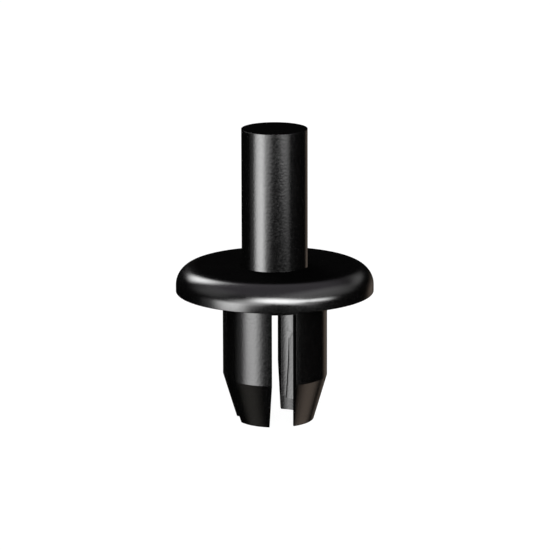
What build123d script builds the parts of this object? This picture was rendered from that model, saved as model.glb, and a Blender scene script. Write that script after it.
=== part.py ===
"""Plastic push rivet: a flanged body with a split shank, and the pin that spreads it.

Millimetres, +Z up along the pin. The origin is the centre of the flange's underside,
the face that seats on the panel. Slots split the shank into legs, the first of which
is centred on +X. The pin is modelled raised, as it stands before it is driven home.
"""
import os

from build123d import *

# Flange
flange_diameter = 12.0
flange_thickness = 1.6
rim_height = 0.4  # upright band at the foot of the flange's rounded rim

# Pin
pin_diameter = 4.0
pin_exposed = 8.4  # stands above the flange before it is driven
pin_engaged = 1.0  # held in the bore before it is driven
pin_edge_radius = 0.06
pin_lead_chamfer = 0.3
pin_clearance = 0.08  # radial, between the pin and the bore

# Shank
shank_diameter = 6.35
shank_length = 8.0  # flange underside to leg tips
taper_length = 2.8  # lead-in cone at the lower end
tip_wall = 0.27  # thickness of a leg at its tip
tip_edge_radius = 0.1
leg_count = 4
slot_width = 1.5
collar_height = 0.8  # unsplit ring between the flange and the slots

# Wedge ribs: one down the middle of each leg, on the bore wall
rib_width = 0.8
rib_rise = 0.43  # how far a rib's lower end stands into the bore
rib_start = 3.0  # depth below the flange where the ramp leaves the wall
rib_tip_gap = 0.85  # plain bore between the rib's end and the leg tip
rib_root = 0.15  # depth of the rib's back in the leg wall

# Sizes that follow
flange_radius = flange_diameter / 2
rim_radius = flange_thickness - rim_height
bore_radius = pin_diameter / 2 + pin_clearance
shank_radius = shank_diameter / 2
straight_length = shank_length - taper_length
tip_radius = bore_radius + tip_wall
tip_rounding = min(tip_edge_radius, tip_wall / 2)
rib_end = shank_length - rib_tip_gap
leg_pitch = 360 / leg_count

os.makedirs("parts", exist_ok=True)

# one wedge rib, on the +X side of the bore
with BuildPart() as rib:
    with BuildSketch(Plane.XZ):
        with BuildLine():
            Polyline(
                (bore_radius + rib_root, -rib_start),
                (bore_radius, -rib_start),
                (bore_radius - rib_rise, -rib_end),
                (bore_radius + rib_root, -rib_end),
                close=True,
            )
        make_face()
    extrude(amount=rib_width / 2, both=True)

with BuildPart() as rivet_body:
    # flange, shank and bore, as one turned form
    with BuildSketch(Plane.XZ) as section:
        with BuildLine():
            top = Line((bore_radius, flange_thickness), (flange_radius - rim_radius, flange_thickness))
            rim = JernArc(top @ 1, (1, 0), rim_radius, -90)
            Polyline(
                rim @ 1,
                (flange_radius, 0),
                (shank_radius, 0),
                (shank_radius, -straight_length),
                (tip_radius, -shank_length),
                (bore_radius, -shank_length),
                top @ 0,
            )
        make_face()
        tip_corner = section.vertices().group_by(Axis.Y)[0].sort_by(Axis.X)[-1]
        fillet(tip_corner, tip_rounding)
    revolve(axis=Axis.Z)

    # slots from the tips up to the collar, midway between the legs
    with BuildSketch(Plane.XY.offset(-collar_height)):
        with PolarLocations(0, leg_count, start_angle=leg_pitch / 2):
            Rectangle(shank_diameter, slot_width, align=(Align.MIN, Align.CENTER))
    extrude(amount=collar_height - shank_length, mode=Mode.SUBTRACT)

    # the pin rides over the ribs, which spreads the legs
    with PolarLocations(0, leg_count):
        add(rib.part)

with BuildPart() as drive_pin:
    with BuildSketch(Plane.XY.offset(flange_thickness - pin_engaged)):
        Circle(pin_diameter / 2)
    extrude(amount=pin_engaged + pin_exposed)
    fillet(drive_pin.edges().group_by(Axis.Z)[-1], pin_edge_radius)
    chamfer(drive_pin.edges().group_by(Axis.Z)[0], pin_lead_chamfer)

rivet_body.part.label = "rivet_body"
export_step(rivet_body.part, "parts/rivet_body.step")
drive_pin.part.label = "drive_pin"
export_step(drive_pin.part, "parts/drive_pin.step")
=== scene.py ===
"""Looks of the plastic push rivet: satin black nylon in a plain, pale studio.

Everything is in the CAD frame: metres, the origin at the centre of the flange's
underside, +Z up along the pin. Sizes of the moulding are those of the CAD part.
"""
import bmesh
import bpy
import math
from mathutils import Matrix, Vector


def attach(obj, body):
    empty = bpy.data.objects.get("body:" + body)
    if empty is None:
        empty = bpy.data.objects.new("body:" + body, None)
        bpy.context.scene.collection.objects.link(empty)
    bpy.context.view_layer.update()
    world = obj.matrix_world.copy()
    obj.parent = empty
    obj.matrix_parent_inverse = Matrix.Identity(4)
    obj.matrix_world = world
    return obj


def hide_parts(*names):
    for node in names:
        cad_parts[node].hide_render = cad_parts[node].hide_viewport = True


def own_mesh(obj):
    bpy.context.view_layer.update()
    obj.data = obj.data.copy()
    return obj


MM = 0.001

# Camera, as fitted to the photograph
CAMERA_AZIMUTH = math.radians(34.48)
CAMERA_ELEVATION = math.radians(13.243)
CAMERA_DISTANCE = 247.33 * MM
CAMERA_ROLL = math.radians(0.136)
CAMERA_LENS = 266.9
SENSOR_WIDTH = 36.0
AIM_RIGHT = 0.01565 * MM  # from the frame's origin to the point that the camera aims at
AIM_UP = 0.9285 * MM
CLIP_START = 10 * MM
CLIP_END = 10

# The moulding, in millimetres
FLANGE_RADIUS = 6.0
FLANGE_TOP = 1.6
RIM_RADIUS = 1.2
SHOULDER_RADIUS = FLANGE_RADIUS - RIM_RADIUS  # where the flat top ends and the rim begins
BORE_RADIUS = 2.08
PIN_RADIUS = 2.0
PIN_TOP = 10.0
PIN_BOTTOM = 0.6
PIN_LEAD = 0.3
SHANK_RADIUS = 3.175
COLLAR_END = -0.8
TAPER_START = -5.2
LEG_END = -8.0
TIP_RADIUS = 2.35
TIP_ROUNDING = 0.1
SLOT_HALF_WIDTH = 0.75
LEG_COUNT = 4

# The wedge rib inside each leg
RIB_HALF_WIDTH = 0.4
RIB_START = -3.0
RIB_END = -7.15
RIB_RISE = 0.43
RIB_ROUNDING = 0.15
RIB_WALL = math.sqrt(BORE_RADIUS**2 - RIB_HALF_WIDTH**2)  # how far out the side meets the bore

# Fine edges, and joins that don't show
FLANGE_EDGE = 0.03
LEG_EDGE = 0.008
PIN_EDGE = 0.008
FACE_DEPTH = 0.3  # of the separate flat tops
ROOT_DEPTH = 0.1  # how far a leg's root reaches into the collar
ROOT_INSET = 0.05

# Heights of the rings of a leg: above its rib, down the rib, and below it
UPPER_LEVELS = (COLLAR_END, -1.5, -2.2, RIB_START)
RIB_LEVELS = (-3.48, -3.65, -4.1, -4.65, TAPER_START, -5.7, -6.2, -6.7, RIB_END)
LOWER_LEVELS = (RIB_END, -7.5)
EMERGING_SHARES = (0.3, 0.5, 0.7, 0.85, 1)  # of the rib's width, at the rings where its face comes out

# Mesh fineness
TURN_STEPS = 256
ARC_STEPS = 24
CORNER_STEPS = 8
RIB_FACE_STEPS = 4
PLAIN_FACE_SHARE = 0.6  # of the rib's width, between the points that stand for its face where it has none
SHARP_ANGLE = math.radians(14)
MERGE_DISTANCE = 1e-5 * MM

# Which faces get which finish, and which get painted highlight or painted shade, in millimetres
CLOSE = 0.01
RIB_STANDS_OFF = 0.03  # a face this far in from the bore's wall is the rib's, which gets a painted highlight: a more reflective copy of the nylon
# faces this close to the bore's wall, below the rib, get painted shade: a less reflective copy of the nylon
WALL_TOLERANCE = 0.005

# Black nylon
INDEX = 1.62
DARKEST = (0.0006, 0.0006, 0.0007, 1)
LIGHTEST = (0.0019, 0.0018, 0.0018, 1)
GRAIN_SCALE = 8000  # features in a metre
GRAIN_DETAIL = 0.5
FLOW_SCALE = 900
FLOW_DETAIL = 3
NOISE_LOW = 0.3  # the noise keeps mostly to this range
NOISE_HIGH = 0.7
FLOW_IN_ROUGHNESS = 0.01
GRAIN_IN_ROUGHNESS = 0.02

# Lamps: soft boxes, brightest in the middle
LAMP_DISTANCE = 1.0
LAMP_CORE = 0.1  # share of a lamp's half width that shines in full
WHITE = (1, 1, 1)
WARM = (1.0, 0.80, 0.66)
FAINTLY_WARM = (1.0, 0.95, 0.85)

# Room and floor
ROOM_COLOR = (1.0, 0.94, 1.04, 1)
ROOM_STRENGTH = 0.225
ROOM_DARK_BELOW = math.radians(30)
ROOM_FULL_ABOVE = math.radians(60)
BACKDROP_IN_GLOSS = 0.002  # how much of the white backdrop the black plastic mirrors
FLOOR_Z = LEG_END * MM
FLOOR_SIZE = 3.0
FLOOR_COLOR = (0.8, 0.8, 0.8, 1)
FLOOR_SHADE = (0.12, 0.12, 0.12, 1)  # what the camera sees of the light on the floor
FLOOR_GLOW = 0.95


def direction(azimuth, elevation):
    """Unit vector; azimuth 0 is the camera's side, and positive azimuths lie to its right."""
    turn = CAMERA_AZIMUTH + math.radians(azimuth)
    rise = math.radians(elevation)
    return Vector((math.sin(turn) * math.cos(rise), -math.cos(turn) * math.cos(rise), math.sin(rise)))


def add_object(name, data):
    item = bpy.data.objects.new(name, data)
    bpy.context.scene.collection.objects.link(item)
    return item


def rounded(before, corner, after, radius, steps=CORNER_STEPS):
    """Points of the arc that rounds a corner between two straight runs."""
    a, c, b = Vector(before), Vector(corner), Vector(after)
    u, v = (a - c).normalized(), (b - c).normalized()
    half = u.angle(v) / 2
    centre = c + (u + v).normalized() * (radius / math.sin(half))
    start = c + u * (radius / math.tan(half)) - centre
    end = c + v * (radius / math.tan(half)) - centre
    turn = math.atan2(start.x * end.y - start.y * end.x, start.dot(end))
    points = []
    for i in range(steps + 1):
        t = turn * i / steps
        points.append((
            centre.x + start.x * math.cos(t) - start.y * math.sin(t),
            centre.y + start.x * math.sin(t) + start.y * math.cos(t),
        ))
    return points


def arc(radius, start, end, steps, centre=(0, 0)):
    """Points of an arc from one angle to another, both ends included, in radians."""
    angles = [start + (end - start) * i / steps for i in range(steps + 1)]
    return [(centre[0] + radius * math.cos(a), centre[1] + radius * math.sin(a)) for a in angles]


def finish_mesh(name, vertices, faces):
    """An object from points in millimetres: doubles merged, normals outwards, smooth but for sharp edges."""
    mesh = bpy.data.meshes.new(name)
    mesh.from_pydata([[c * MM for c in v] for v in vertices], [], faces)
    edit = bmesh.new()
    edit.from_mesh(mesh)
    bmesh.ops.remove_doubles(edit, verts=edit.verts, dist=MERGE_DISTANCE)
    bmesh.ops.recalc_face_normals(edit, faces=edit.faces)
    edit.to_mesh(mesh)
    edit.free()
    mesh.shade_smooth()
    mesh.set_sharp_from_angle(angle=SHARP_ANGLE)
    piece = add_object(name, mesh)
    shading = piece.modifiers.new("shading", "WEIGHTED_NORMAL")
    shading.keep_sharp = True
    return piece


def turned(name, profile):
    """A section of (radius, height) points, turned about the axis; it is closed, by its last
    side or by ends that lie on the axis."""
    count = len(profile)
    sides = [j for j in range(count) if profile[j][0] > 0 or profile[(j + 1) % count][0] > 0]
    vertices, faces = [], []
    for i in range(TURN_STEPS):
        a = 2 * math.pi * i / TURN_STEPS
        vertices += [(r * math.cos(a), r * math.sin(a), z) for r, z in profile]
        here, there = i * count, (i + 1) % TURN_STEPS * count
        for j in sides:
            k = (j + 1) % count
            faces.append((here + j, here + k, there + k, there + j))
    return finish_mesh(name, vertices, faces)


def make_face(name, inner, outer, top):
    """The flat top of a piece, as a shallow plate that lies flush in it."""
    bottom = top - FACE_DEPTH
    return turned(name, [(inner, top), (outer, top), (outer, bottom), (inner, bottom)])


def make_flange():
    """The flange, but for its flat top, with the unsplit collar under it."""
    rim = arc(RIM_RADIUS, math.pi / 2, 0, ARC_STEPS, (SHOULDER_RADIUS, FLANGE_TOP - RIM_RADIUS))
    foot = rounded(rim[-1], (FLANGE_RADIUS, 0), (SHANK_RADIUS, 0), FLANGE_EDGE)
    seat = [(BORE_RADIUS, FLANGE_TOP - FACE_DEPTH), (SHOULDER_RADIUS, FLANGE_TOP - FACE_DEPTH)]
    collar = [(SHANK_RADIUS, 0), (SHANK_RADIUS, COLLAR_END), (BORE_RADIUS, COLLAR_END)]
    return turned("flange", seat + rim + foot + collar)


def make_pin():
    """The drive pin, but for its flat top: solid and plain, with a small lead at its lower end."""
    seat = [(0, PIN_TOP - FACE_DEPTH), (PIN_RADIUS - PIN_EDGE, PIN_TOP - FACE_DEPTH)]
    top = rounded((0, PIN_TOP), (PIN_RADIUS, PIN_TOP), (PIN_RADIUS, 0), PIN_EDGE)
    lead = [(PIN_RADIUS, PIN_BOTTOM + PIN_LEAD), (PIN_RADIUS - PIN_LEAD, PIN_BOTTOM), (0, PIN_BOTTOM)]
    return turned("drive_pin_shaft", seat + top + lead)


def leg_radius(z):
    """Outer radius of a leg at one height, above the rounding of its tip."""
    slope = (SHANK_RADIUS - TIP_RADIUS) / (TAPER_START - LEG_END)
    return SHANK_RADIUS - max(0, TAPER_START - z) * slope


def leg_levels():
    """(height, outer radius, inset, ribbed) of each ring of a leg, from its root to its tip."""
    tip = rounded((SHANK_RADIUS, TAPER_START), (TIP_RADIUS, LEG_END), (BORE_RADIUS, LEG_END), TIP_ROUNDING)
    emerging = (BORE_RADIUS - RIB_WALL) * (RIB_START - RIB_END) / RIB_RISE
    ribbed = [RIB_START - emerging * share**2 for share in EMERGING_SHARES]
    ribbed += RIB_LEVELS
    levels = [(COLLAR_END + ROOT_DEPTH, SHANK_RADIUS, ROOT_INSET, False)]
    levels += [(z, leg_radius(z), 0, False) for z in UPPER_LEVELS]
    levels += [(z, leg_radius(z), 0, True) for z in ribbed]
    levels += [(z, leg_radius(z), 0, False) for z in LOWER_LEVELS]
    levels += [(z, r, 0, False) for r, z in tip]
    return levels


def rib_side(z, ribbed):
    """Points from the bore wall to the edge of the rib's face, on the +Y side."""
    if not ribbed:
        start = math.asin(RIB_HALF_WIDTH / BORE_RADIUS)
        end = math.asin(RIB_HALF_WIDTH * PLAIN_FACE_SHARE / BORE_RADIUS)
        return arc(BORE_RADIUS, start, end, CORNER_STEPS + 1)
    face = BORE_RADIUS - RIB_RISE * (RIB_START - z) / (RIB_START - RIB_END)
    if face >= RIB_WALL:
        edge = math.sqrt(BORE_RADIUS**2 - face**2)
        return [(face, edge)] * (CORNER_STEPS + 2)
    foot = (RIB_WALL, RIB_HALF_WIDTH)
    radius = min(RIB_ROUNDING, RIB_WALL - face)
    return [foot] + rounded(foot, (face, RIB_HALF_WIDTH), (face, 0), radius)


def leg_ring(z, outer, inset, ribbed):
    """Outline of a leg on the +X side at one height, the same number of points at each."""
    half = SLOT_HALF_WIDTH + inset
    outer -= inset
    inner = BORE_RADIUS + inset
    outer_end = math.pi / LEG_COUNT - math.asin(half / outer)
    inner_end = math.pi / LEG_COUNT - math.asin(half / inner)
    outside = arc(outer, -outer_end, outer_end, ARC_STEPS)
    side = [(x + inset, y) for x, y in rib_side(z, ribbed)]
    root = math.atan2(side[0][1], side[0][0])
    upper = arc(inner, inner_end, root, ARC_STEPS // 2)[:-1] + side
    edge = upper[-1]
    face = [(edge[0], edge[1] * (1 - 2 * i / RIB_FACE_STEPS)) for i in range(1, RIB_FACE_STEPS)]
    if not ribbed:
        face = [(math.sqrt(inner**2 - y**2), y) for x, y in face]
    inside = upper + face + [(x, -y) for x, y in reversed(upper)]
    upper_corners = rounded(outside[-2], outside[-1], inside[0], LEG_EDGE)
    upper_corners += rounded(outside[-1], inside[0], inside[1], LEG_EDGE)
    lower_corners = rounded(inside[-2], inside[-1], outside[0], LEG_EDGE)
    lower_corners += rounded(inside[-1], outside[0], outside[1], LEG_EDGE)
    return outside[1:-1] + upper_corners + inside[1:-1] + lower_corners


def make_leg(name, angle):
    """One leg of the shank with its wedge rib, turned to its place."""
    rings = [(z, leg_ring(z, outer, inset, ribbed)) for z, outer, inset, ribbed in leg_levels()]
    count = len(rings[0][1])
    c, s = math.cos(angle), math.sin(angle)
    vertices = [(x * c - y * s, x * s + y * c, z) for z, ring in rings for x, y in ring]
    faces = [tuple(range(count)), tuple(range(len(vertices) - count, len(vertices)))]
    for i in range(len(rings) - 1):
        for j in range(count):
            k = (j + 1) % count
            faces.append((i * count + j, i * count + k, (i + 1) * count + k, (i + 1) * count + j))
    return finish_mesh(name, vertices, faces)


def add_noise(tree, place, scale, detail):
    texture = tree.nodes.new("ShaderNodeTexNoise")
    texture.inputs["Scale"].default_value = scale
    texture.inputs["Detail"].default_value = detail
    tree.links.new(place.outputs["Object"], texture.inputs["Vector"])
    return texture.outputs["Fac"]


def add_spread(tree, noise, low, high):
    """The noise's usual range, stretched from low to high."""
    span = tree.nodes.new("ShaderNodeMapRange")
    span.inputs["From Min"].default_value = NOISE_LOW
    span.inputs["From Max"].default_value = NOISE_HIGH
    span.inputs["To Min"].default_value = low
    span.inputs["To Max"].default_value = high
    tree.links.new(noise, span.inputs["Value"])
    return span.outputs["Result"]


def nylon(name, specular, roughness, grain):
    """Black moulded nylon: satin, with faint flow marks and a grain of so many millimetres in depth."""
    material = bpy.data.materials.new(name)
    material.use_nodes = True
    tree = material.node_tree
    nodes, links = tree.nodes, tree.links
    shader = nodes["Principled BSDF"]
    shader.inputs["IOR"].default_value = INDEX
    shader.inputs["Specular IOR Level"].default_value = specular
    place = nodes.new("ShaderNodeTexCoord")
    fine = add_noise(tree, place, GRAIN_SCALE, GRAIN_DETAIL)
    flow = add_noise(tree, place, FLOW_SCALE, FLOW_DETAIL)

    ramp = nodes.new("ShaderNodeValToRGB")
    ramp.color_ramp.elements[0].position = NOISE_LOW
    ramp.color_ramp.elements[0].color = DARKEST
    ramp.color_ramp.elements[1].position = NOISE_HIGH
    ramp.color_ramp.elements[1].color = LIGHTEST
    links.new(fine, ramp.inputs["Fac"])
    links.new(ramp.outputs["Color"], shader.inputs["Base Color"])

    satin = nodes.new("ShaderNodeMath")
    marks = add_spread(tree, flow, roughness - FLOW_IN_ROUGHNESS, roughness + FLOW_IN_ROUGHNESS)
    links.new(marks, satin.inputs[0])
    links.new(add_spread(tree, fine, -GRAIN_IN_ROUGHNESS, GRAIN_IN_ROUGHNESS), satin.inputs[1])
    links.new(satin.outputs[0], shader.inputs["Roughness"])

    bump = nodes.new("ShaderNodeBump")
    bump.inputs["Strength"].default_value = 1.0
    bump.inputs["Distance"].default_value = grain * MM
    links.new(fine, bump.inputs["Height"])
    links.new(bump.outputs["Normal"], shader.inputs["Normal"])
    return material


def add_camera():
    right = Vector((math.cos(CAMERA_AZIMUTH), math.sin(CAMERA_AZIMUTH), 0))
    back = direction(0, math.degrees(CAMERA_ELEVATION))
    up = back.cross(right)
    rolled_right = right * math.cos(CAMERA_ROLL) - up * math.sin(CAMERA_ROLL)
    rolled_up = right * math.sin(CAMERA_ROLL) + up * math.cos(CAMERA_ROLL)
    data = bpy.data.cameras.new("camera")
    data.lens = CAMERA_LENS
    data.sensor_width = SENSOR_WIDTH
    data.clip_start = CLIP_START
    data.clip_end = CLIP_END
    camera = add_object("camera", data)
    pose = Matrix((rolled_right, rolled_up, back)).transposed().to_4x4()
    pose.translation = right * AIM_RIGHT + up * AIM_UP + back * CAMERA_DISTANCE
    camera.matrix_world = pose
    bpy.context.scene.camera = camera


def fade_to_edges(tree):
    """Makes a lamp shine in full in its middle, and not at all along its edges."""
    nodes, links = tree.nodes, tree.links
    place = nodes.new("ShaderNodeNewGeometry")
    centred = nodes.new("ShaderNodeVectorMath")
    centred.operation = "MULTIPLY_ADD"
    centred.inputs[1].default_value = (2, 2, 0)
    centred.inputs[2].default_value = (-1, -1, 0)
    split = nodes.new("ShaderNodeSeparateXYZ")
    product = nodes.new("ShaderNodeMath")
    product.operation = "MULTIPLY"
    links.new(place.outputs["Parametric"], centred.inputs[0])
    links.new(centred.outputs[0], split.inputs[0])
    for i, axis in enumerate(("X", "Y")):
        offset = nodes.new("ShaderNodeMath")
        offset.operation = "ABSOLUTE"
        fade = nodes.new("ShaderNodeMapRange")
        fade.interpolation_type = "SMOOTHSTEP"
        fade.inputs["From Min"].default_value = LAMP_CORE
        fade.inputs["From Max"].default_value = 1.0
        fade.inputs["To Min"].default_value = 1.0
        fade.inputs["To Max"].default_value = 0.0
        links.new(split.outputs[axis], offset.inputs[0])
        links.new(offset.outputs[0], fade.inputs["Value"])
        links.new(fade.outputs["Result"], product.inputs[i])
    links.new(product.outputs[0], nodes["Emission"].inputs["Strength"])


def add_softbox(name, azimuth, elevation, width, height, roll, radiance, color=WHITE, shadow=True):
    """A rectangular lamp that faces the origin; width and height are the angles that it fills
    there, and all its angles are in degrees."""
    data = bpy.data.lights.new(name, "AREA")
    data.shape = "RECTANGLE"
    data.size = 2 * LAMP_DISTANCE * math.tan(math.radians(width / 2))
    data.size_y = 2 * LAMP_DISTANCE * math.tan(math.radians(height / 2))
    data.energy = radiance * math.pi * data.size * data.size_y
    data.color = color
    data.use_shadow = shadow
    data.use_nodes = True
    fade_to_edges(data.node_tree)
    lamp = add_object(name, data)
    toward = direction(azimuth, elevation)
    facing = toward.to_track_quat("Z", "Y").to_matrix().to_4x4()
    turn = facing @ Matrix.Rotation(math.radians(roll), 4, "Z")
    lamp.matrix_world = Matrix.Translation(toward * LAMP_DISTANCE) @ turn
    lamp.visible_camera = False
    return lamp


def add_lamps():
    """All the soft boxes; returns those that the flat tops would mirror as plain white from behind."""
    strong = [
        add_softbox("front", 4, 20.5, 76, 42, -16, 9.7),
        add_softbox("front_right", 46.2, 12.7, 62.8, 21.3, -9, 7.1),
        add_softbox("link", -30, 6, 65, 50, 24.1, 2.45, shadow=False),
        add_softbox("left", -53.5, -10.5, 54, 36, -3, 4.42, shadow=False),
        add_softbox("left_far", -82, -12, 34, 34, 0, 0.18, shadow=False),
        add_softbox("right_fill", 33, -1.8, 54, 18.6, -13.6, 1.26, shadow=False),
        add_softbox("warm_right", 99, -42, 66, 40, 0, 0.6, WARM, shadow=False),
        add_softbox("warm_back", 150, -14, 40, 40, 0, 0.24, WARM, shadow=False),
    ]
    add_softbox("back_left", -143.7, 36.9, 37.1, 40.5, 0, 5.3)
    add_softbox("right_top", 56.4, 41, 122.5, 67.6, 0, 0.49)
    add_softbox("low_left", -72, -45, 60, 34, 0, 0.195, FAINTLY_WARM, shadow=False)
    add_softbox("left_top", -87.2, 32.1, 74.8, 58.6, 0, 0.34)
    add_softbox("back_right", 139, 27, 56, 24, 0, 0.39)
    return strong


def keep_lamps_off(lamps, faces):
    """Links lamps so that they light everything but these faces."""
    shaded = bpy.data.collections.new("shaded_faces")
    for face in faces:
        shaded.objects.link(face)
    for item in shaded.collection_objects:
        item.light_linking.link_state = "EXCLUDE"
    for lamp in lamps:
        lamp.light_linking.receiver_collection = shaded


def add_world():
    """White to the camera; to the object, a dim room that is lighter overhead, and a trace of the white."""
    world = bpy.data.worlds.new("studio")
    bpy.context.scene.world = world
    world.use_nodes = True
    nodes, links = world.node_tree.nodes, world.node_tree.links
    nodes.clear()
    backdrop = nodes.new("ShaderNodeBackground")
    backdrop.inputs["Color"].default_value = (*WHITE, 1)
    backdrop.inputs["Strength"].default_value = 1.0

    place = nodes.new("ShaderNodeTexCoord")
    split = nodes.new("ShaderNodeSeparateXYZ")
    rise = nodes.new("ShaderNodeMapRange")
    rise.interpolation_type = "SMOOTHSTEP"
    rise.inputs["From Min"].default_value = math.sin(ROOM_DARK_BELOW)
    rise.inputs["From Max"].default_value = math.sin(ROOM_FULL_ABOVE)
    rise.inputs["To Min"].default_value = 0.0
    rise.inputs["To Max"].default_value = ROOM_STRENGTH
    room = nodes.new("ShaderNodeBackground")
    room.inputs["Color"].default_value = ROOM_COLOR
    links.new(place.outputs["Generated"], split.inputs[0])
    links.new(split.outputs["Z"], rise.inputs["Value"])
    links.new(rise.outputs["Result"], room.inputs["Strength"])

    path = nodes.new("ShaderNodeLightPath")
    seen = nodes.new("ShaderNodeMath")
    seen.operation = "MAXIMUM"
    share = nodes.new("ShaderNodeMath")
    share.operation = "MULTIPLY_ADD"
    share.inputs[1].default_value = BACKDROP_IN_GLOSS
    links.new(path.outputs["Is Camera Ray"], seen.inputs[0])
    links.new(path.outputs["Is Transmission Ray"], seen.inputs[1])
    links.new(path.outputs["Is Glossy Ray"], share.inputs[0])
    links.new(seen.outputs[0], share.inputs[2])

    mix = nodes.new("ShaderNodeMixShader")
    out = nodes.new("ShaderNodeOutputWorld")
    links.new(share.outputs[0], mix.inputs["Fac"])
    links.new(room.outputs[0], mix.inputs[1])
    links.new(backdrop.outputs[0], mix.inputs[2])
    links.new(mix.outputs[0], out.inputs["Surface"])


def floor_material():
    """Pale to the object, white but for a faint shadow to the camera, and clear from below."""
    material = bpy.data.materials.new("floor")
    material.use_nodes = True
    nodes, links = material.node_tree.nodes, material.node_tree.links
    nodes.clear()
    plain = nodes.new("ShaderNodeBsdfDiffuse")
    plain.inputs["Color"].default_value = FLOOR_COLOR
    shade = nodes.new("ShaderNodeBsdfDiffuse")
    shade.inputs["Color"].default_value = FLOOR_SHADE
    glow = nodes.new("ShaderNodeEmission")
    glow.inputs["Strength"].default_value = FLOOR_GLOW
    shown = nodes.new("ShaderNodeAddShader")
    links.new(shade.outputs[0], shown.inputs[0])
    links.new(glow.outputs[0], shown.inputs[1])

    path = nodes.new("ShaderNodeLightPath")
    above = nodes.new("ShaderNodeMixShader")
    links.new(path.outputs["Is Camera Ray"], above.inputs["Fac"])
    links.new(plain.outputs[0], above.inputs[1])
    links.new(shown.outputs[0], above.inputs[2])

    side = nodes.new("ShaderNodeNewGeometry")
    clear = nodes.new("ShaderNodeBsdfTransparent")
    either = nodes.new("ShaderNodeMixShader")
    out = nodes.new("ShaderNodeOutputMaterial")
    links.new(side.outputs["Backfacing"], either.inputs["Fac"])
    links.new(above.outputs[0], either.inputs[1])
    links.new(clear.outputs[0], either.inputs[2])
    links.new(either.outputs[0], out.inputs["Surface"])
    return material


def add_floor():
    """A pale floor under the leg tips."""
    signs = ((-1, -1), (1, -1), (1, 1), (-1, 1))
    mesh = bpy.data.meshes.new("floor")
    mesh.from_pydata([(x * FLOOR_SIZE, y * FLOOR_SIZE, FLOOR_Z) for x, y in signs], [], [(0, 1, 2, 3)])
    mesh.materials.append(floor_material())
    floor = add_object("floor", mesh)
    floor.visible_glossy = False
    floor.visible_shadow = False


def finish_flange(flange, flange_nylon, shank_nylon):
    """The collar under the flange has the shank's finish, and the rest the flange's."""
    flange.data.materials.append(flange_nylon)
    flange.data.materials.append(shank_nylon)
    for face in flange.data.polygons:
        reach = max(math.hypot(*flange.data.vertices[v].co.xy) for v in face.vertices) / MM
        on_collar = reach < SHANK_RADIUS + CLOSE and face.center.z / MM < -CLOSE
        face.material_index = 1 if on_collar else 0


def finish_leg(leg, shank_nylon, rib_painted_highlight_nylon, lower_bore_painted_shade_nylon):
    """The rib's face gets a more reflective copy of the shank's nylon, a painted highlight, and the bore's
    wall below it gets a less reflective one, duller than the shank: painted shade.
    """
    for material in (shank_nylon, rib_painted_highlight_nylon, lower_bore_painted_shade_nylon):
        leg.data.materials.append(material)
    for face in leg.data.polygons:
        radius, height = face.center.xy.length / MM, face.center.z / MM
        # the rib's face: painted highlight, from a more reflective copy of the nylon
        if radius < BORE_RADIUS - RIB_STANDS_OFF and height > RIB_END - CLOSE:
            face.material_index = 1
        # the bore's wall below the rib: painted shade, from a less reflective copy of the nylon
        elif radius < BORE_RADIUS + WALL_TOLERANCE and height < RIB_END:
            face.material_index = 2


def spread_leg(leg):
    """Gives a leg its own copy of its mesh."""
    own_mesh(leg)


def add_body():
    """The moulded body, in place of its solid; returns its flat top."""
    flange_nylon = nylon("flange_nylon", 1.0, 0.195, 0.001)
    shank_nylon = nylon("shank_nylon", 0.7, 0.17, 0.004)
    # painted highlight: the rib's face gets a more reflective copy of the shank's nylon
    rib_painted_highlight_nylon = nylon("rib_painted_highlight_nylon", 1.0, 0.15, 0.0025)
    # painted shade: the bore's wall below the rib gets a less reflective copy of the shank's nylon
    lower_bore_painted_shade_nylon = nylon("lower_bore_painted_shade_nylon", 0.42, 0.17, 0.004)
    flange = make_flange()
    finish_flange(flange, flange_nylon, shank_nylon)
    flange_face = make_face("flange_face", BORE_RADIUS, SHOULDER_RADIUS, FLANGE_TOP)
    flange_face.data.materials.append(flange_nylon)
    angles = [2 * math.pi * i / LEG_COUNT for i in range(LEG_COUNT)]
    legs = [make_leg(f"leg_{i + 1}", angle) for i, angle in enumerate(angles)]
    for leg in legs:
        finish_leg(leg, shank_nylon, rib_painted_highlight_nylon, lower_bore_painted_shade_nylon)
    for piece in (flange, flange_face, *legs):
        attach(piece, "body")
        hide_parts("rivet_body")
        piece.visible_glossy = False
    for leg, angle in zip(legs, angles):
        spread_leg(leg)
    return flange_face


def add_pin():
    """The drive pin, in place of its solid; returns its flat top."""
    pin_nylon = nylon("pin_nylon", 1.0, 0.175, 0.0042)
    pin = make_pin()
    pin_face = make_face("drive_pin_face", 0, PIN_RADIUS - PIN_EDGE, PIN_TOP)
    for piece in (pin, pin_face):
        piece.data.materials.append(pin_nylon)
        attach(piece, "pin")
        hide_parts("drive_pin")
        piece.visible_glossy = False
    return pin_face


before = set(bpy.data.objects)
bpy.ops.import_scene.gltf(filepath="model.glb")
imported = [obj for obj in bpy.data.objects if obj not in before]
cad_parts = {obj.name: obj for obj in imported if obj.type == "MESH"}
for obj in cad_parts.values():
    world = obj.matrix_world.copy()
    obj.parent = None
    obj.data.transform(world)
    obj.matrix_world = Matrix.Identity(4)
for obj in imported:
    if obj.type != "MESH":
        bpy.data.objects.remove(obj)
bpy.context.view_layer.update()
bpy.context.scene.view_settings.view_transform = "Standard"

add_camera()
add_world()
add_floor()
strong_lamps = add_lamps()
flat_tops = (add_body(), add_pin())
keep_lamps_off(strong_lamps, flat_tops)
